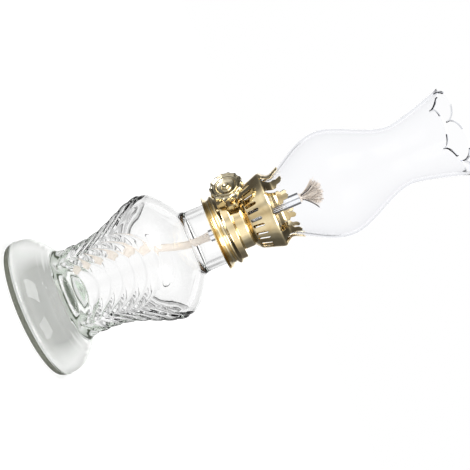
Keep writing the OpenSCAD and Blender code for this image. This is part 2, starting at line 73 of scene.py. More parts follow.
GLASS_UP = [(0, 0.75), (0.15, 0.78), (0.27, 0.82), (0.37, 0.91), (0.43, 0.985), (0.5, 1), (0.76, 1),
            (0.88, 0.75), (1, 0.6)]
GLASS_REACH = [(0, 0), (0.25, 0), (0.32, 1), (0.488, 1), (0.498, 0), (1, 0)]
GLASS_INSIDE = 1.4
TUBE_SIDES = [(0, 1), (0.05, 0.9), (0.08, 0.14), (0.2, 0.12), (0.26, 0.3), (0.3, 1), (0.44, 1),
              (0.48, 0.4), (0.51, 0.45), (0.55, 1), (0.7, 1), (0.74, 0.4), (0.8, 0.12), (0.92, 0.14),
              (0.95, 0.9), (1, 1)]
TUBE_SHINE = 1.5
# A ray from bright metal behind glass has passed more faces of glass than this
BEHIND_GLASS = 2.5

# Glass font
FONT_BEND = 1.38
FOOT_R = 31.6
FOOT_EDGE = 3.2
FOOT_EDGE_ROWS = (0, 0.04, 0.16, 0.4, 0.8, 1.3, 1.9, 2.4, 2.8)
FOOT_ROUND = 1.4
FOOT_RING = 24.0
FOOT_HOLLOW = 2.4
# Height of the dark band of painted shade round the bottom edge of the foot
EDGE_SHADE_BAND = 2.9
FOOT_H = 20.4
FOOT_SWEEP = 1.6
WAIST_R = 20.3
WAIST_H = 27.0
BELLY_R = 29.0
BELLY_H = 61.0
BODY_SWEEP = 1.3
SHOULDER_SWEEP = 1.85
FONT_H = 77.0
FONT_WALL = 3.4
FLOOR_H = 16.0
FLOOR_ROUND = 8.0
NECK_R = 14.1
BORE_R = 11.2
NECK_TOP = 94.5
NECK_EDGE = 0.4
SHOULDER_LOW = FONT_H - 0.6 * FONT_WALL
NECK_ROUND = 1.8
NECK_SLOPE = (BELLY_R - NECK_R) * SHOULDER_SWEEP / (FONT_H - BELLY_H)
FILLET_TOP = 80.0
# Height, half width and relief of the bead above the edge of the foot
FOOT_BEAD = (3.7, 0.5, 0.3)
# Colours of the underside from the middle outwards, by the share of the foot's radius: painted shade,
# darkest in the middle and nearly white at the ground ring
UNDERSIDE_SHADE = [(0.0, (0.24, 0.25, 0.22)), (0.44, (0.17, 0.18, 0.15)), (0.56, (0.66, 0.67, 0.65)),
             (0.66, (0.96, 0.96, 0.95))]

# Pressed ribs
RING_LINES = (13.2, 16.6)
RING_RELIEF = 0.25
RIB_COUNT = 8
RIB_DEPTH = 1.1
RIB_FAINT = 0.32
RIB_SHARP = 1.5
RIB_LOW = 17.1
RIB_LEAD = 0.3
RIB_TOP = 63.3
RIB_HIGH = 65.0
RIB_ARCH = 16.0
RIB_PANELS = 4
RIB_TURN = -5.0
RIB_CROWD = 1.35
RIB_ROWS = 11
CROWN_ROWS = 8
CROWN_FADE = 5

# Screw thread; a thread runs between two angles of its helix
THREAD_PITCH = 4.233
THREAD_Z = 92.12
THREAD_FADE = 40.0
THREAD_LOW = 87.5
GLASS_THREAD = (-300, 60)
GLASS_THREAD_H = 1.2
GLASS_THREAD_HALF = 1.3
GLASS_THREAD_FROM = 86.0
COLLAR_THREAD = (-440, 128)
COLLAR_THREAD_H = 1.3
COLLAR_THREAD_HALF = 1.7
COLLAR_THREAD_FROM = 88.2

# Burner
SHEET = 0.45
COLLAR_LOW = 87.3
COLLAR_TOP = 96.45
PLATE_Z = 96.0
LIP_R = 17.5
SKIRT_R = 14.95
SKIRT_LOW = 89.8
SKIRT_ROUND = 0.45
BAND_R = 11.55
BAND_TOP = 101.2
BAND_FLANGE = 1.8
BASKET_R = 17.2
NOTCH_Z = 113.5
PRONG_TOP = 122.4
PRONG_LEN = PRONG_TOP - NOTCH_Z
PRONG_COUNT = 12
PRONG_W = 5.0
TIP_W = 2.9
TIP_ARC = math.radians(80)
GRIP_R = 14.7
TIP_R = 16.8
SLOT_PAIRS = 14
SLOT_TURN = 11.0
SLOT_Z = 103.5
SLOT_W = 1.4
SLOT_LEN = 5.2
CUT_FAR = 40.0

# Wick and raiser
TUBE_R = 2.65
TUBE_WALL = 0.4
TUBE_LOW = 84.05
TUBE_TOP = 126.6
TUBE_ROWS = (100.0, 115.0)
BORE_GAP = 0.05
WICK_R = 2.0
WICK_LOW = 82.05
WICK_TOP = 127.4
SPINDLE_X = -4.5
SPINDLE_Z = 99.55
SPINDLE_R = 0.9
KNOB_FACE = -21.4
KNOB_R = 7.6
KNOB_DEPTH = 3.4
KNOB_DISH = 0.65
KNOB_RECESS = 1.5
KNOB_RING_R = 0.62 * KNOB_R
KNOB_RING_H = 0.3
KNOB_RIM_BACK = 0.8
HUB_R = SPINDLE_R + 0.9
KNOB_SCALLOPS = 14
SCALLOP_DEPTH = 0.55
SCALLOP_HALF = 0.46
SCALLOP_EDGE = 0.6
RIVET_R = 1.8
RIVET_H = 0.9
# Outline of the rivet's head, in shares of its radius and height
RIVET_HEAD = [(1, 0), (1, 0.35), (0.85, 0.8), (0.6, 1), (0.4, 0.75), (0.2, 0.55), (0, 0.5)]

# Frayed end of the wick
TUFT_H = 10.4
TUFT_R = 7.3
TUFT_ROOT = 0.6
TUFT_STRAIGHT = 0.14
TUFT_CLUMPS = 22
CLUMP_STRANDS = 15
CLUMP_SPREAD = 0.26
CLUMP_TURN = 0.618
ROOT_SHARE = 0.8
SHADED_SHARE = 0.35
DARK_STRANDS = 4
DARK_SPREAD = 0.06
# Direction in degrees, reach and height of the dark yarn ends
DARK_ENDS = [(11, 8.6, 6.2), (287, 8.4, 6.6)]

# The free end of the wick, measured down from the lower end of the wick
TAIL_R = 1.8
TAIL_SIDES = 24
TAIL_STRANDS = 8
TAIL_LAY = 0.9
TAIL_GROOVE = 0.11
TAIL_POINTS = [(0, 0, 0), (0, 0, -4), (-0.1, -0.1, -8), (-1, -0.9, -13), (-2.5, -2.2, -19),
               (-4.3, -3.7, -26), (-5.9, -5.1, -33), (-7.1, -6.2, -40), (-7.7, -6.7, -47),
               (-7.8, -6.8, -53), (-7.4, -6.2, -58), (-6.6, -5.4, -60.5)]

# Glass chimney
CHIMNEY_BEND = 1.12
SEAT_TOP = 112.65
CHIMNEY_H = 87.35
CHIMNEY_WALL = 1.2
CHIMNEY_FOOT_R = 13.9
FOOT_STRAIGHT = 5.0
BULB_R = 24.15
BULB_H = 30.15
BULB_SWEEP = 0.76
THROAT_R = 13.65
THROAT_H = 61.75
RIM_R = 20.6
RIM_SWEEP = 1.25
RIM_SCALLOPS = 6
NOTCH_DEPTH = 4.6
NOTCH_TURN = 55.0
SCALLOP_FROM = 66.0
# Width of the grey line of painted shade along the notched rim, and the least drop of the rim where it
# starts
RIM_LINE = 0.65
RIM_LINE_FROM = 0.35


def mix(a, b, u):
    return a + (b - a) * u


def smooth(u):
    return u * u * (3 - 2 * u)


def steps(low, high, count):
    """count + 1 evenly spaced values from low to high."""
    return [mix(low, high, k / count) for k in range(count + 1)]


def arc(centre, radius, start, end, count):
    """Points on an arc of a flat outline, between two angles."""
    return [(centre[0] + radius * math.cos(t), centre[1] + radius * math.sin(t))
            for t in steps(start, end, count)]


def through(points, count):
    """A smooth line through the points, with count steps between one and the next."""
    p = [Vector(q) for q in points]
    line = []
    for i in range(len(p) - 1):
        a, b, c, d = p[max(i - 1, 0)], p[i], p[i + 1], p[min(i + 2, len(p) - 1)]
        for k in range(count):
            u = k / count
            line.append(0.5 * (2 * b + (c - a) * u + (2 * a - 5 * b + 4 * c - d) * u * u
                               + (3 * b - a - 3 * c + d) * u ** 3))
    return [tuple(q) for q in line] + [tuple(p[-1])]


def beside(line, t):
    """The line of the other face of a sheet, t to the left of a line of (radius, height)."""
    face = []
    for i in range(len(line)):
        a, b = Vector(line[max(i - 1, 0)]), Vector(line[min(i + 1, len(line) - 1)])
        d = (b - a).normalized()
        face.append((line[i][0] - t * d[1], line[i][1] + t * d[0]))
    return face


# Camera

def set_camera():
    a = math.radians(CAMERA_AZIMUTH)
    back = Vector((math.sin(a), -math.cos(a), 0))
    right = Vector((math.cos(a), math.sin(a), 0))
    place = (back * CAMERA_DISTANCE + Vector((0, 0, CAMERA_HEIGHT))) * MM
    aim = (right * AIM_ASIDE + Vector((0, 0, AIM_HEIGHT))) * MM
    bpy.ops.object.camera_add(location=place)
    camera = bpy.context.object
    camera.name = "camera"
    camera.rotation_mode = "QUATERNION"
    roll = Quaternion((0, 0, 1), math.radians(CAMERA_ROLL))
    camera.rotation_quaternion = (aim - place).to_track_quat("-Z", "Y") @ roll
    camera.data.lens = CAMERA_LENS
    camera.data.sensor_width = CAMERA_SENSOR
    camera.data.clip_start = 10 * MM
    bpy.context.scene.camera = camera


# Modelling

def pick(piece):
    bpy.ops.object.select_all(action="DESELECT")
    piece.select_set(True)
    bpy.context.view_layer.objects.active = piece


def close_up(piece):
    """Merges doubles and turns the faces outwards."""
    pick(piece)
    bpy.ops.object.mode_set(mode="EDIT")
    bpy.ops.mesh.select_all(action="SELECT")
    bpy.ops.mesh.remove_doubles(threshold=0.002 * MM)
    bpy.ops.mesh.normals_make_consistent(inside=False)
    bpy.ops.object.mode_set(mode="OBJECT")


def drawn(name, points):
    """A line drawn point by point, extruded from one vertex; points are in millimetres."""
    bpy.ops.object.select_all(action="DESELECT")
    bpy.ops.mesh.primitive_plane_add(size=MM)
    piece = bpy.context.object
    piece.name = piece.data.name = name
    bpy.ops.object.mode_set(mode="EDIT")
    bpy.ops.mesh.select_all(action="SELECT")
    bpy.ops.mesh.merge(type="CENTER")
    bpy.ops.transform.translate(value=Vector(points[0]) * MM)
    for a, b in zip(points, points[1:]):
        bpy.ops.mesh.extrude_region_move(TRANSFORM_OT_translate={"value": (Vector(b) - Vector(a)) * MM})
    bpy.ops.object.mode_set(mode="OBJECT")
    return piece


def turned(name, outline, columns):
    """A piece turned round the Z axis: its outline of (radius, height) is drawn and spun."""
    piece = drawn(name, [(r, 0, z) for r, z in outline])
    bpy.ops.object.mode_set(mode="EDIT")
    bpy.ops.mesh.select_all(action="SELECT")
    bpy.ops.mesh.spin(steps=columns, angle=math.tau, center=(0, 0, 0), axis=(0, 0, 1))
    bpy.ops.object.mode_set(mode="OBJECT")
    close_up(piece)
    return piece


def points_of(piece):
    """The piece's vertices as radius, angle in degrees and height in millimetres."""
    co = np.empty(len(piece.data.vertices) * 3)
    piece.data.vertices.foreach_get("co", co)
    x, y, z = (co.reshape(-1, 3) / MM).T
    return np.hypot(x, y), np.degrees(np.arctan2(y, x)), z


def put_points(piece, r, a, z):
    a = np.radians(a)
    co = np.stack([r * np.cos(a), r * np.sin(a), z], axis=1) * MM
    piece.data.vertices.foreach_set("co", co.ravel())
    piece.data.update()


def moved(piece, place=(0, 0, 0), turn=(0, 0, 0)):
    """Turns and moves a piece, and puts the move into its mesh."""
    pick(piece)
    piece.rotation_euler = [math.radians(t) for t in turn]
    piece.location = Vector(place) * MM
    bpy.ops.object.transform_apply(location=True, rotation=True, scale=True)
    return piece


def modified(piece, kind, **values):
    """Adds a modifier and applies it."""
    pick(piece)
    modifier = piece.modifiers.new(kind.lower(), kind)
    for name, value in values.items():
        setattr(modifier, name, value)
    bpy.ops.object.modifier_apply(modifier=modifier.name)


def smoothed(piece, angle=40):
    pick(piece)
    bpy.ops.object.shade_smooth_by_angle(angle=math.radians(angle))
    return piece


def finished(piece, body, material, slot, *nodes):
    """The piece gets its finish, rides on its body and stands for its CAD nodes."""
    piece.data.materials.clear()
    piece.data.materials.append(material)
    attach(piece, body)
    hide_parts(*nodes)


# Materials

class Finish:
    """A node material with one Principled shader and short names for adding nodes to it."""

    def __init__(self, name, **sockets):
        self.material = bpy.data.materials.new(name)
        self.material.use_nodes = True
        self.tree = self.material.node_tree
        self.shader = self.tree.nodes["Principled BSDF"]
        self.output = self.tree.nodes["Material Output"]
        for socket, value in sockets.items():
            self.shader.inputs[socket.replace("_", " ")].default_value = value

    def add(self, kind, **values):
        node = self.tree.nodes.new(kind)
        for name, value in values.items():
            if name in node.inputs:
                node.inputs[name].default_value = value
            else:
                setattr(node, name, value)
        return node

    def link(self, a, b):
        self.tree.links.new(a, b)

    def place(self, stretch=(1, 1, 1)):
        """Object coordinates, stretched."""
        where = self.add("ShaderNodeTexCoord")
        mapping = self.add("ShaderNodeMapping", Scale=stretch)
        self.link(where.outputs["Object"], mapping.inputs["Vector"])
        return mapping.outputs["Vector"]

    def noise(self, scale, detail=3.0, stretch=(1, 1, 1)):
        node = self.add("ShaderNodeTexNoise", Scale=scale, Detail=detail)
        self.link(self.place(stretch), node.inputs["Vector"])
        return node.outputs["Fac"]

    def ramp(self, factor, stops):
        node = self.add("ShaderNodeValToRGB")
        ramp = node.color_ramp
        for stop in range(len(stops) - 2):
            ramp.elements.new(0.5)
        for element, (at, colour) in zip(ramp.elements, stops):
            element.position = at
            element.color = (*colour, 1)
        self.link(factor, node.inputs["Fac"])
        return node.outputs["Color"]

    def between(self, factor, low, high):
        node = self.add("ShaderNodeMapRange")
        node.inputs["To Min"].default_value = low
        node.inputs["To Max"].default_value = high
        self.link(factor, node.inputs["Value"])
        return node.outputs["Result"]

    def bump(self, height, strength, distance):
        node = self.add("ShaderNodeBump", Strength=strength, Distance=distance * MM)
        self.link(height, node.inputs["Height"])
        self.link(node.outputs["Normal"], self.shader.inputs["Normal"])

    def to(self, socket, value):
        self.link(value, self.shader.inputs[socket])


def glass(name, bend, tint, density, wave, swell):
    """Clear glass with a slight cast through its thickness and a slightly wavy face."""
    f = Finish(name, Base_Color=(1, 1, 1, 1), Roughness=0.0, IOR=bend, Transmission_Weight=1.0)
    f.bump(f.noise(wave, detail=2.0), *swell)
    absorb = f.add("ShaderNodeVolumeAbsorption", Density=density)
    absorb.inputs["Color"].default_value = (*tint, 1)
    f.link(absorb.outputs["Volume"], f.output.inputs["Volume"])
    return f.material


def metal(name, light, dark, rough, grain, dents):
    """Bright sheet metal: uneven colour, fine rubbing marks and a soft unevenness of the face."""
    f = Finish(name, Metallic=1.0)
    patches = f.noise(130.0, detail=4.0)
    f.to("Base Color", f.ramp(patches, [(0.32, dark), (0.62, light)]))
    marks = f.noise(900.0, detail=5.0, stretch=grain)
    f.to("Roughness", f.between(marks, *rough))
    face = f.add("ShaderNodeMath", operation="MULTIPLY_ADD")
    f.link(marks, face.inputs[0])
    face.inputs[1].default_value = 0.04
    f.link(f.noise(150.0, detail=1.0), face.inputs[2])
    f.bump(face.outputs["Value"], strength=0.3, distance=dents)
    return f.material


def cotton(name, light, dark):
    """Cotton yarn: fibres that run along the strand, and a soft sheen."""
    f = Finish(name, Roughness=0.9, Sheen_Weight=0.25, Sheen_Roughness=0.6)
    fibres = f.noise(1800.0, detail=4.0, stretch=(3, 3, 0.5))
    f.to("Base Color", f.ramp(fibres, [(0.25, dark), (0.65, light)]))
    f.bump(fibres, strength=0.5, distance=0.12)
    return f.material


def cork_rubber(name, light, dark):
    """Matt ring of cork grains in rubber."""
    f = Finish(name, Roughness=0.85)
    f.to("Base Color", f.ramp(f.noise(1400.0), [(0.35, dark), (0.65, light)]))
    return f.material


def painted_shade_glass(name, bend, clear, light, dark, rough):
    """Glass with a stippled face and a grey cast of painted shade, as on the dark edge of the foot and on
    the rim line.
    """
    f = Finish(name, IOR=bend, Transmission_Weight=clear)
    stipple = f.noise(1500.0)
    f.to("Base Color", f.ramp(stipple, [(0.3, dark), (0.7, light)]))
    f.to("Roughness", f.between(stipple, *rough))
    return f.material


def shaded_underside_glass(name, bend, clear, rough):
    """The stippled underside of the foot, with painted shade: a grey hollow that gets lighter towards the
    ground ring.
    """
    f = Finish(name, IOR=bend, Transmission_Weight=clear)
    away = f.add("ShaderNodeVectorMath", operation="LENGTH")
    f.link(f.place((1, 1, 0)), away.inputs[0])
    out = f.add("ShaderNodeMapRange")
    out.inputs["From Max"].default_value = FOOT_R * MM
    f.link(away.outputs["Value"], out.inputs["Value"])
    f.to("Base Color", f.ramp(out.outputs["Result"], UNDERSIDE_SHADE))
    f.to("Roughness", f.between(f.noise(1500.0), *rough))
    return f.material


font_glass = glass("font_glass", FONT_BEND, tint=(0.86, 0.90, 0.86), density=6.0, wave=70.0,
                   swell=(0.15, 0.5))
chimney_glass = glass("chimney_glass", CHIMNEY_BEND, tint=(0.84, 0.86, 0.94), density=70.0, wave=60.0,
                      swell=(0.1, 0.4))
stippled_shaded_glass = shaded_underside_glass("stippled_shaded_glass", FONT_BEND, clear=0.4, rough=(0.12, 0.30))
# Painted shade: a dark band round the bottom of the foot, where it stands on the floor
edge_shade_glass = painted_shade_glass("edge_shade_glass", FONT_BEND, clear=0.35, light=(0.15, 0.16, 0.12),
                        dark=(0.07, 0.075, 0.055), rough=(0.05, 0.20))
# Painted shade: a grey line along the notched rim of the chimney
rim_shade_glass = painted_shade_glass("rim_shade_glass", CHIMNEY_BEND, clear=1.0, light=(0.76, 0.77, 0.80),
                       dark=(0.62, 0.63, 0.67), rough=(0.0, 0.05))
brass = metal("brass", light=(0.87, 0.74, 0.47), dark=(0.66, 0.50, 0.26), rough=(0.07, 0.16),
              grain=(1, 1, 8), dents=0.35)
pale_brass = metal("pale_brass", light=(0.66, 0.59, 0.43), dark=(0.50, 0.43, 0.28), rough=(0.05, 0.12),
                   grain=(1, 6, 1), dents=0.04)
bright_metal = metal("bright_metal", light=(0.72, 0.73, 0.75), dark=(0.58, 0.59, 0.62), rough=(0.08, 0.16),
                     grain=(6, 6, 0.6), dents=0.04)
cotton_yarn = cotton("cotton_yarn", light=(0.92, 0.85, 0.77), dark=(0.75, 0.66, 0.58))
shaded_yarn = cotton("shaded_yarn", light=(0.50, 0.44, 0.39), dark=(0.32, 0.27, 0.23))
dark_yarn = cotton("dark_yarn", light=(0.10, 0.09, 0.10), dark=(0.03, 0.03, 0.035))
gasket = cork_rubber("gasket", light=(0.52, 0.37, 0.25), dark=(0.34, 0.22, 0.13))


# Glass font

def font_r(z):
    if z <= FOOT_EDGE:
        return FOOT_R - FOOT_ROUND * (1 - math.sqrt(1 - (1 - max(z, 0) / FOOT_EDGE) ** 2))
    if z < FOOT_H:
        return mix(FOOT_R, WAIST_R, smooth(((z - FOOT_EDGE) / (FOOT_H - FOOT_EDGE)) ** FOOT_SWEEP))
    if z <= WAIST_H:
        return WAIST_R
    if z < BELLY_H:
        return mix(WAIST_R, BELLY_R, smooth(((z - WAIST_H) / (BELLY_H - WAIST_H)) ** BODY_SWEEP))
    return mix(BELLY_R, NECK_R, min(1, (z - BELLY_H) / (FONT_H - BELLY_H)) ** SHOULDER_SWEEP)


def chamber_r(z):
    if z < WAIST_H:
        drop = max(0.0, (FLOOR_H + FLOOR_ROUND - z) / FLOOR_ROUND)
        return (WAIST_R - FONT_WALL) * math.sqrt(max(0.0, 1 - drop * drop))
    if z < BELLY_H:
        return font_r(z) - FONT_WALL
    return mix(BELLY_R - FONT_WALL, BORE_R,
               min(1, (z - BELLY_H) / (SHOULDER_LOW - BELLY_H)) ** SHOULDER_SWEEP)


def foot_relief(z):
    """Two fine rings round the top of the foot, and a low bead above its edge."""
    u = (z - RING_LINES[0]) / (RING_LINES[1] - RING_LINES[0])
    at, half, high = FOOT_BEAD
    bead = high * math.exp(-((z - at) / half) ** 2)
    return bead + (RING_RELIEF * math.sin(2 * math.pi * u) ** 2 if 0 < u < 1 else 0.0)


def neck_fillet(z):
    """The glass that rounds the corner between the shoulder and the neck."""
    off = font_r(z) - NECK_R if z < FONT_H else NECK_SLOPE * (FONT_H - z)
    return max(NECK_ROUND - abs(off), 0) ** 2 / (4 * NECK_ROUND)


def font_outline():
    under = [(FOOT_RING * u, FOOT_HOLLOW * (1 - u * u)) for u in steps(0, 1, 10)]
    edge = [(font_r(z) + foot_relief(z), z) for z in FOOT_EDGE_ROWS]
    foot = [(font_r(z) + foot_relief(z), z) for z in steps(FOOT_EDGE, RIB_LOW - RIB_LEAD, 44)]
    ribs = [(font_r(z), z) for z in steps(RIB_LOW, RIB_TOP, RIB_COUNT * RIB_ROWS)]
    crown = [(font_r(z), z) for z in steps(RIB_TOP, RIB_HIGH, CROWN_ROWS)[1:]]
    shoulder = [(font_r(z) + neck_fillet(z), z) for z in steps(RIB_HIGH, FONT_H, 24)[1:]]
    neck_rows = steps(FONT_H, FILLET_TOP, 9)[1:] + steps(FILLET_TOP, THREAD_LOW, 4)[1:]
    neck = [(NECK_R + neck_fillet(z), z) for z in neck_rows]
    neck += [(NECK_R, z) for z in steps(THREAD_LOW, NECK_TOP - NECK_EDGE, 24)[1:]]
    top = [(NECK_R - 0.15, NECK_TOP - 0.15), (NECK_R - NECK_EDGE, NECK_TOP), (BORE_R + NECK_EDGE, NECK_TOP),
           (BORE_R + 0.1, NECK_TOP - 0.15), (BORE_R, NECK_TOP - 0.5)]
    bore = [(BORE_R, z) for z in steps(NECK_TOP - 0.5, SHOULDER_LOW, 8)[1:]]
    chamber = [(chamber_r(z), z) for z in steps(SHOULDER_LOW, FLOOR_H + FLOOR_ROUND, 52)[1:]]
    floor = [((WAIST_R - FONT_WALL) * math.cos(a), FLOOR_H + FLOOR_ROUND * (1 - math.sin(a)))
             for a in steps(0, math.pi / 2, 12)[1:]]
    floor[-1] = (0, FLOOR_H)
    return under + edge + foot + ribs + crown + shoulder + neck + top + bore + chamber + floor


def press_ribs(r, a, z):
    """Bends the rows of the body into arches and presses the grooves, faint on the clear panels."""
    outside = np.abs(r - np.array([font_r(h) for h in z])) < 0.05
    ribbed = outside & (z >= RIB_LOW - 0.01) & (z <= RIB_HIGH + 0.01)
    wave = np.sin(np.radians((a - RIB_TURN) * RIB_PANELS / 2))
    arch = np.abs(wave)
    top = RIB_TOP - RIB_ARCH * (1 - arch)
    rib = np.clip((z - RIB_LOW) / (RIB_TOP - RIB_LOW), 0, 1)
    crown = np.clip((z - RIB_TOP) / (RIB_HIGH - RIB_TOP), 0, 1)
    rise = mix(rib ** RIB_CROWD, rib, arch)
    height = np.where(crown > 0, mix(top, RIB_HIGH, crown), mix(RIB_LOW, top, rise))
    reed = (1 - np.abs(np.sin(np.pi * rib * RIB_COUNT))) ** RIB_SHARP
    depth = np.where(wave < 0, mix(RIB_DEPTH, RIB_FAINT, smooth(arch)), RIB_DEPTH)
    relief = depth * np.where(crown > 0, (1 - crown) ** CROWN_FADE, reed)
    z = np.where(ribbed, height, z)
    r = np.where(ribbed, np.array([font_r(h) for h in z]) - relief, r)
    return r, a, z


def roll_thread(r, a, z, rows, ends, height, half):
    """Raises a ridge on a helix on the chosen rows, between two angles of the helix."""
    out = np.zeros_like(r)
    for turn in range(-2, 2):
        helix = np.mod(a, 360) + 360 * turn
        here = np.clip(np.minimum(helix - ends[0], ends[1] - helix) / THREAD_FADE, 0, 1)
        off = np.abs(z - THREAD_Z - THREAD_PITCH * helix / 360) / half
        ridge = np.where(off < 1, np.cos(off * math.pi / 2) ** 1.3, 0)
        out = np.maximum(out, here * ridge)
    return np.where(rows, r + height * out, r)


def make_font():
    piece = turned("font_glass_body", font_outline(), columns=216)
    r, a, z = press_ribs(*points_of(piece))
    neck = (np.abs(r - NECK_R) < 0.01) & (z > GLASS_THREAD_FROM)
    r = roll_thread(r, a, z, neck, GLASS_THREAD, GLASS_THREAD_H, GLASS_THREAD_HALF)
    put_points(piece, r, a, z)
    smoothed(piece, angle=50)
    finished(piece, "font", font_glass, "font_glass", "glass_font")
    piece.data.materials.append(stippled_shaded_glass)
    piece.data.materials.append(edge_shade_glass)
    for face in piece.data.polygons:
        height = face.center.z / MM
        # The hollow underneath gets the glass with painted shade
        if height < FOOT_HOLLOW and face.normal.z < -0.7:
            face.material_index = 1
        # The band round the bottom edge gets dark painted shade
        elif height < EDGE_SHADE_BAND:
            face.material_index = 2


# Brass burner

def make_collar():
    lip = through([(LIP_R, COLLAR_LOW), (mix(SKIRT_R, LIP_R, 0.45), mix(COLLAR_LOW, SKIRT_LOW, 0.27)),
                   (mix(SKIRT_R, LIP_R, 0.08), mix(COLLAR_LOW, SKIRT_LOW, 0.58)), (SKIRT_R, SKIRT_LOW)], 6)
    skirt = [(SKIRT_R, z) for z in steps(SKIRT_LOW, COLLAR_TOP - SKIRT_ROUND, 44)[1:]]
    shoulder = [(SKIRT_R - 0.05, COLLAR_TOP - 0.2), (SKIRT_R - 0.2, COLLAR_TOP - 0.05),
                (SKIRT_R - SKIRT_ROUND, COLLAR_TOP)]
    plate = [(TUBE_R + BORE_GAP, COLLAR_TOP), (TUBE_R + BORE_GAP, PLATE_Z)]
    inner = [(SKIRT_R - SHEET, PLATE_Z)] + beside(lip, SHEET)[:0:-1]
    edge = [(LIP_R - 0.08, COLLAR_LOW)]
    outline = lip + skirt + shoulder + plate + inner + edge + [lip[0]]
    piece = turned("screw_collar_brass", outline, columns=192)
    r, a, z = points_of(piece)
    rows = (r > SKIRT_R - 0.06) & (z > COLLAR_THREAD_FROM)
    put_points(piece, roll_thread(r, a, z, rows, COLLAR_THREAD, COLLAR_THREAD_H, COLLAR_THREAD_HALF), a, z)
    smoothed(piece)
    finished(piece, "burner", brass, "brass", "screw_collar")


def make_band():
    outer = [(BAND_R - 0.25, COLLAR_TOP), (BAND_R - 0.02, COLLAR_TOP + 0.25)]
    outer += [(BAND_R, z) for z in steps(COLLAR_TOP + 0.6, BAND_TOP - 0.4, 6)]
    outer += [(BAND_R - 0.06, BAND_TOP - 0.15), (BAND_R - 0.25, BAND_TOP)]
    inner = [(BAND_R - SHEET, BAND_TOP), (BAND_R - SHEET, COLLAR_TOP + SHEET),
             (BAND_R - BAND_FLANGE, COLLAR_TOP + SHEET), (BAND_R - BAND_FLANGE, COLLAR_TOP)]
    piece = smoothed(turned("smooth_band", outer + inner + [outer[0]], columns=128))
    finished(piece, "burner", brass, "brass", "burner_band")


def cutter(name, outline, near):
    """A flat outline of (across, height), filled and extruded along -Y to well past the basket."""
    piece = drawn(name, [(x, -near, z) for x, z in outline + [outline[0]]])
    close_up(piece)
    bpy.ops.object.mode_set(mode="EDIT")
    bpy.ops.mesh.select_all(action="SELECT")
    bpy.ops.mesh.edge_face_add()
    bpy.ops.mesh.extrude_region_move(TRANSFORM_OT_translate={"value": (0, (near - CUT_FAR) * MM, 0)})
    bpy.ops.object.mode_set(mode="OBJECT")
    close_up(piece)
    return piece


def round_about(piece, angles):
    """Copies of a piece at these angles round the Z axis, each with its own mesh, joined into one."""
    copies = []
    for angle in angles:
        pick(piece)
        bpy.ops.object.duplicate()
        copies.append(moved(bpy.context.object, turn=(0, 0, angle)))
    bpy.data.objects.remove(piece)
    pick(copies[0])
    for copy in copies:
        copy.select_set(True)
    bpy.ops.object.join()
    return bpy.context.object


def cut_by(piece, tool):
    modified(piece, "BOOLEAN", operation="DIFFERENCE", solver="EXACT", object=tool)
    bpy.data.objects.remove(tool)


def gallery_outline():
    """Both faces of the sheet: a foot on the band, a straight cone and the springy curve of the prongs."""
    cone_low = (mix(BAND_R, BASKET_R, 0.40), mix(BAND_TOP, NOTCH_Z, 0.17))
    cone_high = (mix(BAND_R, BASKET_R, 0.84), mix(BAND_TOP, NOTCH_Z, 0.74))
    foot = through([(BAND_R - BAND_FLANGE, BAND_TOP), (BAND_R - 0.2, BAND_TOP + 0.02), cone_low], 6)[:-1]
    cone = [(mix(cone_low[0], cone_high[0], u), mix(cone_low[1], cone_high[1], u)) for u in steps(0, 1, 8)]
    prong = through([cone_high, (BASKET_R, NOTCH_Z),
                     (mix(GRIP_R, BASKET_R, 0.45), NOTCH_Z + 0.22 * PRONG_LEN),
                     (GRIP_R, NOTCH_Z + 0.46 * PRONG_LEN),
                     (mix(GRIP_R, TIP_R, 0.42), NOTCH_Z + 0.74 * PRONG_LEN),
                     (TIP_R, PRONG_TOP)], 6)[1:]
    outer = foot + cone + prong
    return outer + beside(outer, SHEET)[::-1] + [outer[0]]


def prong_gap():
    """The gap between two prongs: round at the bottom, and wider past their waists to round the tips."""
    half = GRIP_R * math.sin(math.pi / PRONG_COUNT) - PRONG_W / 2 + 0.25
    middle = TIP_R * math.sin(math.pi / PRONG_COUNT)
    tip = TIP_W / 2
    waist = NOTCH_Z + 0.62 * PRONG_LEN
    side = [(half, waist - 0.6), (half + 0.05, waist), (middle - tip, waist + 0.9)]
    side += arc((middle, PRONG_TOP - tip), tip, math.pi, math.pi - TIP_ARC, 8)
    side += [(middle - tip * math.cos(TIP_ARC), PRONG_TOP + 1)]
    return arc((0, NOTCH_Z + half), half, -math.pi, 0, 12) + side + [(-x, z) for x, z in side[::-1]]


def air_slot():
    end = SLOT_W / 2
    upper = arc((0, SLOT_Z + SLOT_LEN - end), end, 0, math.pi, 10)
    return upper + arc((0, SLOT_Z + end), end, math.pi, math.tau, 10)


def make_gallery():
    piece = turned("prong_basket", gallery_outline(), columns=240)
    between = [(i + 0.5) * 360 / PRONG_COUNT for i in range(PRONG_COUNT)]
    cut_by(piece, round_about(cutter("prong_gap", prong_gap(), GRIP_R - 2), between))
    pairs = [i * 360 / SLOT_PAIRS + side * SLOT_TURN / 2 for i in range(SLOT_PAIRS) for side in (-1, 1)]
    cut_by(piece, round_about(cutter("air_slot", air_slot(), BAND_R - 0.5), pairs))
    modified(piece, "BEVEL", width=0.07 * MM, segments=2, limit_method="ANGLE",
             angle_limit=math.radians(55))
    smoothed(piece, angle=35)
    finished(piece, "burner", brass, "brass", "prong_gallery")


# Wick tube and raiser

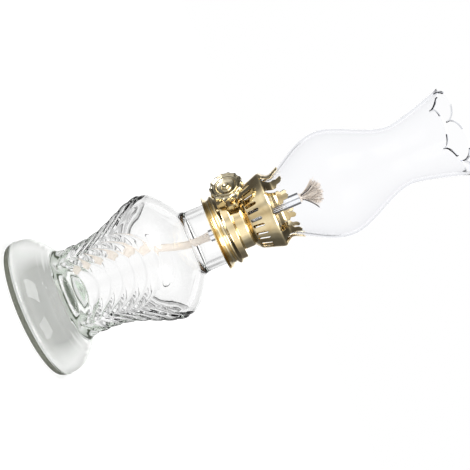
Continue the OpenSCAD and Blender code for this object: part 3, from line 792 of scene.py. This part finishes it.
def make_tube():
    inner = TUBE_R - TUBE_WALL
    outline = [(TUBE_R, z) for z in (TUBE_LOW, *TUBE_ROWS, TUBE_TOP - 0.2)]
    outline += [(TUBE_R - 0.06, TUBE_TOP - 0.05), (TUBE_R - 0.2, TUBE_TOP), (inner + 0.06, TUBE_TOP - 0.06)]
    outline += [(inner, TUBE_TOP - 0.2), (inner, TUBE_LOW), outline[0]]
    piece = smoothed(turned("wick_tube_metal", outline, columns=64))
    finished(piece, "burner", bright_metal, "bright_metal", "wick_tube")


def along_spindle(piece, y):
    """Puts a piece that was turned round Z on the spindle's axis, its +Z towards the knob."""
    return moved(piece, (SPINDLE_X, y, SPINDLE_Z), (90, 0, 0))


def knob_outline():
    """A hub at the back, a rounded rim, a raised ring and a bowl round the rivet."""
    bore = SPINDLE_R + BORE_GAP
    ring = KNOB_RING_R
    face = KNOB_DEPTH - KNOB_DISH
    hub_top = KNOB_DEPTH - RIVET_H
    back = [(bore, 0), (HUB_R - 0.15, 0), (HUB_R, 0.15), (HUB_R, KNOB_RIM_BACK),
            (ring, KNOB_RIM_BACK + KNOB_RING_H)]
    rim = through([(KNOB_R - 0.6, KNOB_RIM_BACK), (KNOB_R - 0.1, KNOB_RIM_BACK + 0.1),
                   (KNOB_R, KNOB_RIM_BACK + 0.5), (KNOB_R, KNOB_DEPTH - 1.1),
                   (KNOB_R - 0.14, KNOB_DEPTH - 0.5), (KNOB_R - 0.5, KNOB_DEPTH - 0.1),
                   (KNOB_R - 0.85, KNOB_DEPTH), (KNOB_R - 1.2, KNOB_DEPTH - 0.1),
                   (ring + 1.0, face + 0.08), (ring + 0.55, face)], 4)
    bead = through([(ring + 0.5, face), (ring + 0.35, face + 0.24), (ring + 0.05, face + KNOB_RING_H),
                    (ring - 0.25, face + 0.24), (ring - 0.5, face - 0.2), (ring - 0.85, face - 0.5)], 4)
    bowl = through([(ring - 0.9, face - 0.52), (HUB_R + 0.7, KNOB_DEPTH - KNOB_RECESS),
                    (HUB_R + 0.15, hub_top - 0.35), (HUB_R - 0.1, hub_top), (bore, hub_top)], 4)
    return back + rim + bead + bowl + [back[0]]


def make_knob():
    piece = turned("thumb_knob_brass", knob_outline(), columns=224)
    r, a, z = points_of(piece)
    pitch = 360 / KNOB_SCALLOPS
    off = np.abs(np.mod(a, pitch) - pitch / 2) / (pitch * SCALLOP_HALF)
    bite = SCALLOP_DEPTH * np.clip(1 - off ** 2, 0, 1)
    flat = KNOB_RING_R + SCALLOP_EDGE
    put_points(piece, r - bite * np.clip((r - flat) / (KNOB_R - flat), 0, 1), a, z)
    smoothed(along_spindle(piece, KNOB_FACE + KNOB_DEPTH))
    finished(piece, "raiser", pale_brass, "pale_brass", "thumb_knob")


def make_rivet():
    head = through([(u * RIVET_R, v * RIVET_H) for u, v in RIVET_HEAD], 4)
    piece = turned("knob_rivet_brass", [(0, 0)] + head, columns=48)
    smoothed(along_spindle(piece, KNOB_FACE + RIVET_H))
    finished(piece, "raiser", pale_brass, "pale_brass", "knob_rivet")


# Wick

def yarn_twist(r, a, z, strands, lay, depth):
    """Lays the face of a cotton column in twisted strands."""
    return r - depth * (1 - np.abs(np.cos(np.radians(a) * strands / 2 + z * lay)))


def make_wick():
    outline = [(0, WICK_LOW)] + [(WICK_R, z) for z in steps(WICK_LOW, WICK_TOP, 120)] + [(0, WICK_TOP)]
    piece = turned("wick_column", outline, columns=40)
    r, a, z = points_of(piece)
    twisted = yarn_twist(r, a, z, strands=8, lay=0.9, depth=0.2)
    put_points(piece, np.where(r > WICK_R / 2, twisted, r), a, z)
    smoothed(piece, angle=60)
    finished(piece, "wick_body", cotton_yarn, "cotton", "wick")


def strand(curve, points, thickness):
    """Adds one strand to a curve, thinner towards its tip."""
    spline = curve.splines.new("POLY")
    spline.points.add(len(points) - 1)
    for i, (point, q) in enumerate(zip(spline.points, points)):
        point.co = (*(Vector(q) * MM), 1)
        point.radius = thickness * mix(1.0, 0.45, (i / (len(points) - 1)) ** 2)


def as_mesh(curve, name):
    curve.dimensions = "3D"
    curve.bevel_depth = MM
    curve.bevel_resolution = 1
    curve.use_fill_caps = True
    piece = bpy.data.objects.new(name, curve)
    bpy.context.scene.collection.objects.link(piece)
    pick(piece)
    bpy.ops.object.convert(target="MESH")
    return bpy.context.object


def frayed(root, way, out, high, curl):
    """One yarn end: it leaves the wick straight at first, leans out and curls over near its tip."""
    phase, swing = random.uniform(0, math.tau), random.uniform(0.1, 0.45)
    start = (root * math.cos(way), root * math.sin(way))
    line = []
    for u in steps(0, 1, 8):
        reach = out * max(0, (u - TUFT_STRAIGHT) / (1 - TUFT_STRAIGHT)) ** 1.15
        sway = swing * u * math.sin(4.5 * u + phase)
        line.append((mix(start[0], 0, u) + reach * math.cos(way) - sway * math.sin(way),
                     mix(start[1], 0, u) + reach * math.sin(way) + sway * math.cos(way),
                     WICK_TOP - TUFT_ROOT + (high + TUFT_ROOT) * (u - curl * u ** 4)))
    return line


def make_tuft():
    """Splayed yarn ends: clumps of strands that leave the tube together and part towards their tips."""
    light = bpy.data.curves.new("tuft_strands", "CURVE")
    shaded = bpy.data.curves.new("tuft_shaded_strands", "CURVE")
    dark = bpy.data.curves.new("tuft_dark_strands", "CURVE")
    for c in range(TUFT_CLUMPS):
        way = math.tau * (c * CLUMP_TURN % 1)
        spread = math.sqrt((c + 0.5) / TUFT_CLUMPS)
        lean = spread * TUFT_R * random.uniform(0.82, 1.08)
        high = TUFT_H * mix(1.1, 0.9, spread ** 2) * random.uniform(0.9, 1.0)
        for s in range(CLUMP_STRANDS):
            turn = way + random.gauss(0, CLUMP_SPREAD)
            out = lean * random.uniform(0.8, 1.06) + random.uniform(-0.4, 0.4)
            line = frayed(ROOT_SHARE * WICK_R * spread, turn, out, high * random.uniform(0.74, 1.0),
                          curl=0.14 * spread)
            strand(shaded if random.random() < SHADED_SHARE else light, line, random.uniform(0.14, 0.26))
    for way, out, high in DARK_ENDS:
        for s in range(DARK_STRANDS):
            turn = math.radians(way) + random.gauss(0, DARK_SPREAD)
            line = frayed(ROOT_SHARE * WICK_R, turn, out * random.uniform(0.9, 1.0), high, curl=0.1)
            strand(dark, line, random.uniform(0.14, 0.2))
    for curve, name, finish in ((light, "wick_tuft_strands", cotton_yarn),
                                (shaded, "wick_tuft_shaded_strands", shaded_yarn),
                                (dark, "wick_tuft_dark_strands", dark_yarn)):
        piece = smoothed(as_mesh(curve, name), angle=80)
        finished(piece, "wick_body", finish, "cotton", "wick_tuft")


def make_tail():
    """The free end of the wick: a limp cord of twisted strands that hangs from the tube into the font."""
    line = [Vector((x, y, z + WICK_LOW)) * MM for x, y, z in through(TAIL_POINTS, 8)]
    bpy.ops.object.select_all(action="DESELECT")
    bpy.ops.mesh.primitive_circle_add(vertices=TAIL_SIDES, radius=TAIL_R * MM, fill_type="NGON",
                                      location=line[0])
    piece = bpy.context.object
    piece.name = piece.data.name = "wick_tail_cord"
    bpy.ops.object.transform_apply(location=True)
    bpy.ops.object.mode_set(mode="EDIT")
    bpy.ops.mesh.select_all(action="SELECT")
    for a, b in zip(line, line[1:]):
        bpy.ops.mesh.extrude_region_move(TRANSFORM_OT_translate={"value": b - a})
    bpy.ops.object.mode_set(mode="OBJECT")
    close_up(piece)
    co = np.empty(len(piece.data.vertices) * 3)
    piece.data.vertices.foreach_get("co", co)
    co = co.reshape(-1, 3)
    axis = np.array([tuple(p) for p in line])
    run = np.concatenate([[0], np.cumsum(np.linalg.norm(np.diff(axis, axis=0), axis=1))]) / MM
    nearest = np.argmin(np.abs(co[:, None, 2] - axis[None, :, 2]), axis=1)
    off = co - axis[nearest]
    twist = np.arctan2(off[:, 1], off[:, 0]) * TAIL_STRANDS / 2 + run[nearest] * TAIL_LAY
    shrink = 1 - TAIL_GROOVE * (1 - np.abs(np.cos(twist)))
    co = axis[nearest] + off * shrink[:, None]
    piece.data.vertices.foreach_set("co", co.ravel())
    piece.data.update()
    smoothed(piece, angle=60)
    finished(piece, "wick_body", cotton_yarn, "cotton", "wick_tail")


# Glass chimney

def chimney_r(h):
    if h <= FOOT_STRAIGHT:
        return CHIMNEY_FOOT_R
    if h <= BULB_H:
        return mix(CHIMNEY_FOOT_R, BULB_R,
                   smooth(((h - FOOT_STRAIGHT) / (BULB_H - FOOT_STRAIGHT)) ** BULB_SWEEP))
    if h <= THROAT_H:
        return mix(BULB_R, THROAT_R, smooth((h - BULB_H) / (THROAT_H - BULB_H)))
    return mix(THROAT_R, RIM_R, ((h - THROAT_H) / (CHIMNEY_H - THROAT_H)) ** RIM_SWEEP)


def rim_drop(a):
    """How far the rim lies below its highest points at an angle round the axis."""
    pitch = 360 / RIM_SCALLOPS
    off = np.abs(np.mod(a - NOTCH_TURN + pitch / 2, pitch) - pitch / 2)
    across = np.clip(np.sin(np.radians(off)) / math.sin(math.pi / RIM_SCALLOPS), 0, 1)
    return NOTCH_DEPTH * (1 - np.sqrt(1 - (1 - across) ** 2))


def make_chimney():
    line = [(chimney_r(h), h) for h in steps(0.3, CHIMNEY_H - 0.35, 150)]
    rim = [(RIM_R - 0.1, CHIMNEY_H - 0.08), (RIM_R - 0.45, CHIMNEY_H), (RIM_R - 0.85, CHIMNEY_H - 0.06)]
    foot = [(CHIMNEY_FOOT_R - 0.9, 0.02), (CHIMNEY_FOOT_R - 0.3, 0.02)]
    outline = line + rim + beside(line, CHIMNEY_WALL)[::-1] + foot + [line[0]]
    piece = turned("chimney_glass_body", outline, columns=180)
    r, a, z = points_of(piece)
    share = np.clip((z - SCALLOP_FROM) / (CHIMNEY_H - SCALLOP_FROM), 0, 1)
    high = z - rim_drop(a) * share
    away = r - np.array([chimney_r(min(h, CHIMNEY_H)) for h in z])
    r = np.where(share > 0, np.array([chimney_r(min(h, CHIMNEY_H)) for h in high]) + away, r)
    put_points(piece, r, a, high + SEAT_TOP)
    smoothed(piece, angle=50)
    finished(piece, "chimney", chimney_glass, "chimney_glass", "glass_chimney")
    piece.data.materials.append(rim_shade_glass)
    # Faces along the notched rim get the grey painted shade
    for face in piece.data.polygons:
        x, y, z = face.center / MM
        drop = rim_drop(math.degrees(math.atan2(y, x)))
        if drop > RIM_LINE_FROM and z > SEAT_TOP + CHIMNEY_H - drop - RIM_LINE:
            face.material_index = 1


# Inner pieces that keep their CAD shape

def finish_inner_pieces():
    finishes = {"neck_gasket": gasket, "chimney_seat": brass, "tube_ferrule": bright_metal,
                "raiser_bracket": brass, "spindle_bush": brass, "raiser_spindle": bright_metal,
                "raiser_wheel": brass, "spindle_clip": bright_metal}
    for node, finish in finishes.items():
        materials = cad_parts[node].data.materials
        materials.clear()
        materials.append(finish)


# Studio

def dome_glow(name, around, upward, reach, inside, mirrored):
    """The glow of a dome, from its brightness round the horizon and up from the floor.

    Round the horizon the stops start behind the lamp and go by the left, with the camera at 0.5. The reach
    says at which heights that brightness counts. Cotton behind glass is lit by the even brightness inside,
    and bright metal there mirrors a brightness round the horizon of its own.
    """
    material = bpy.data.materials.new(name)
    material.use_nodes = True
    tree = material.node_tree
    tree.nodes.clear()
    lamp = tree.nodes.new("ShaderNodeEmission")
    output = tree.nodes.new("ShaderNodeOutputMaterial")
    tree.links.new(lamp.outputs["Emission"], output.inputs["Surface"])

    def maths(operation, a, b, c=0.0):
        node = tree.nodes.new("ShaderNodeMath")
        node.operation = operation
        for socket, value in zip(node.inputs, (a, b, c)):
            if isinstance(value, (int, float)):
                socket.default_value = value
            else:
                tree.links.new(value, socket)
        return node.outputs["Value"]

    def ramp(factor, stops):
        node = tree.nodes.new("ShaderNodeValToRGB")
        node.color_ramp.interpolation = "EASE"
        for stop in range(len(stops) - 2):
            node.color_ramp.elements.new(0.5)
        for element, (at, grey) in zip(node.color_ramp.elements, stops):
            element.position = at
            element.color = (grey, grey, grey, 1)
        tree.links.new(factor, node.inputs["Fac"])
        return node.outputs["Color"]

    place = tree.nodes.new("ShaderNodeTexCoord")
    axes = tree.nodes.new("ShaderNodeSeparateXYZ")
    tree.links.new(place.outputs["Object"], axes.inputs["Vector"])
    x, y, z = (axes.outputs[axis] for axis in "XYZ")
    turn = maths("MULTIPLY_ADD", maths("ARCTAN2", x, maths("MULTIPLY", y, -1)), 1 / math.tau, 0.5)
    rise = maths("MULTIPLY_ADD", z, 0.5 / DOME_R, 0.5)
    dim = maths("MULTIPLY", maths("SUBTRACT", 1, ramp(turn, around)), ramp(rise, reach))
    glow = maths("MULTIPLY", maths("SUBTRACT", 1, dim), ramp(rise, upward))
    path = tree.nodes.new("ShaderNodeLightPath")
    if mirrored:
        behind = maths("GREATER_THAN", path.outputs["Transmission Depth"], BEHIND_GLASS)
        bounced = maths("MULTIPLY", maths("MINIMUM", path.outputs["Glossy Depth"], 1), behind)
        shine = maths("MULTIPLY", ramp(turn, mirrored), TUBE_SHINE)
        glow = maths("MULTIPLY_ADD", bounced, maths("SUBTRACT", shine, glow), glow)
    scattered = maths("MINIMUM", path.outputs["Diffuse Depth"], 1)
    glow = maths("MULTIPLY_ADD", scattered, maths("SUBTRACT", inside, glow), glow)
    tree.links.new(glow, lamp.inputs["Strength"])
    return material


def dome(name, seen_by, around, upward, reach, inside, mirrored=None):
    """A glow all round the lamp that only one kind of ray sees."""
    bpy.ops.object.select_all(action="DESELECT")
    bpy.ops.mesh.primitive_uv_sphere_add(segments=64, ring_count=32, radius=DOME_R)
    piece = bpy.context.object
    piece.name = name
    piece.rotation_euler = (0, 0, math.radians(CAMERA_AZIMUTH))
    piece.data.materials.append(dome_glow(name, around, upward, reach, inside, mirrored))
    for kind in ("camera", "diffuse", "glossy", "transmission", "shadow", "volume_scatter"):
        setattr(piece, "visible_" + kind, kind == seen_by)


def light(name, azimuth, elevation, distance, size, power):
    """A softbox, turned from the camera's direction, that shows only in what is glossy."""
    a, e = math.radians(CAMERA_AZIMUTH + azimuth), math.radians(elevation)
    way = Vector((math.sin(a) * math.cos(e), -math.cos(a) * math.cos(e), math.sin(e)))
    bpy.ops.object.light_add(type="AREA", location=way * distance + Vector((0, 0, 0.1)))
    lamp = bpy.context.object
    lamp.name = name
    lamp.rotation_euler = (-way).to_track_quat("-Z", "Y").to_euler()
    lamp.data.shape = "RECTANGLE"
    lamp.data.size, lamp.data.size_y = size
    lamp.data.energy = power
    lamp.visible_camera = False
    lamp.visible_diffuse = False
    lamp.visible_transmission = False


def make_floor():
    bpy.ops.object.select_all(action="DESELECT")
    bpy.ops.mesh.primitive_plane_add(size=FLOOR_SIZE)
    floor = bpy.context.object
    floor.name = "floor"
    material = bpy.data.materials.new("floor_white")
    material.use_nodes = True
    shader = material.node_tree.nodes["Principled BSDF"]
    shader.inputs["Base Color"].default_value = (FLOOR_GREY, FLOOR_GREY, FLOOR_GREY, 1)
    shader.inputs["Roughness"].default_value = 0.9
    shader.inputs["Specular IOR Level"].default_value = 0.0
    shader.inputs["Emission Color"].default_value = (1, 1, 1, 1)
    shader.inputs["Emission Strength"].default_value = FLOOR_GLOW
    floor.data.materials.append(material)
    floor.visible_glossy = False
    floor.visible_transmission = False


def light_studio():
    scene = bpy.context.scene
    scene.view_settings.view_transform = "Standard"
    world = bpy.data.worlds.new("studio")
    scene.world = world
    world.use_nodes = True
    world.node_tree.nodes["Background"].inputs["Color"].default_value = (1, 1, 1, 1)
    world.node_tree.nodes["Background"].inputs["Strength"].default_value = 1.0
    make_floor()
    dome("metal_dome", "glossy", METAL_SIDES, METAL_UP, METAL_REACH, METAL_INSIDE)
    dome("glass_dome", "transmission", GLASS_SIDES, GLASS_UP, GLASS_REACH, GLASS_INSIDE, TUBE_SIDES)
    light("key_softbox", azimuth=-38, elevation=30, distance=0.7, size=(0.4, 0.65), power=5.6)
    light("fill_softbox", azimuth=35, elevation=24, distance=0.8, size=(0.42, 0.65), power=4.2)


set_camera()
make_tail()
make_font()
make_collar()
make_band()
make_gallery()
make_tube()
make_knob()
make_rivet()
make_wick()
make_tuft()
make_chimney()
finish_inner_pieces()
light_studio()
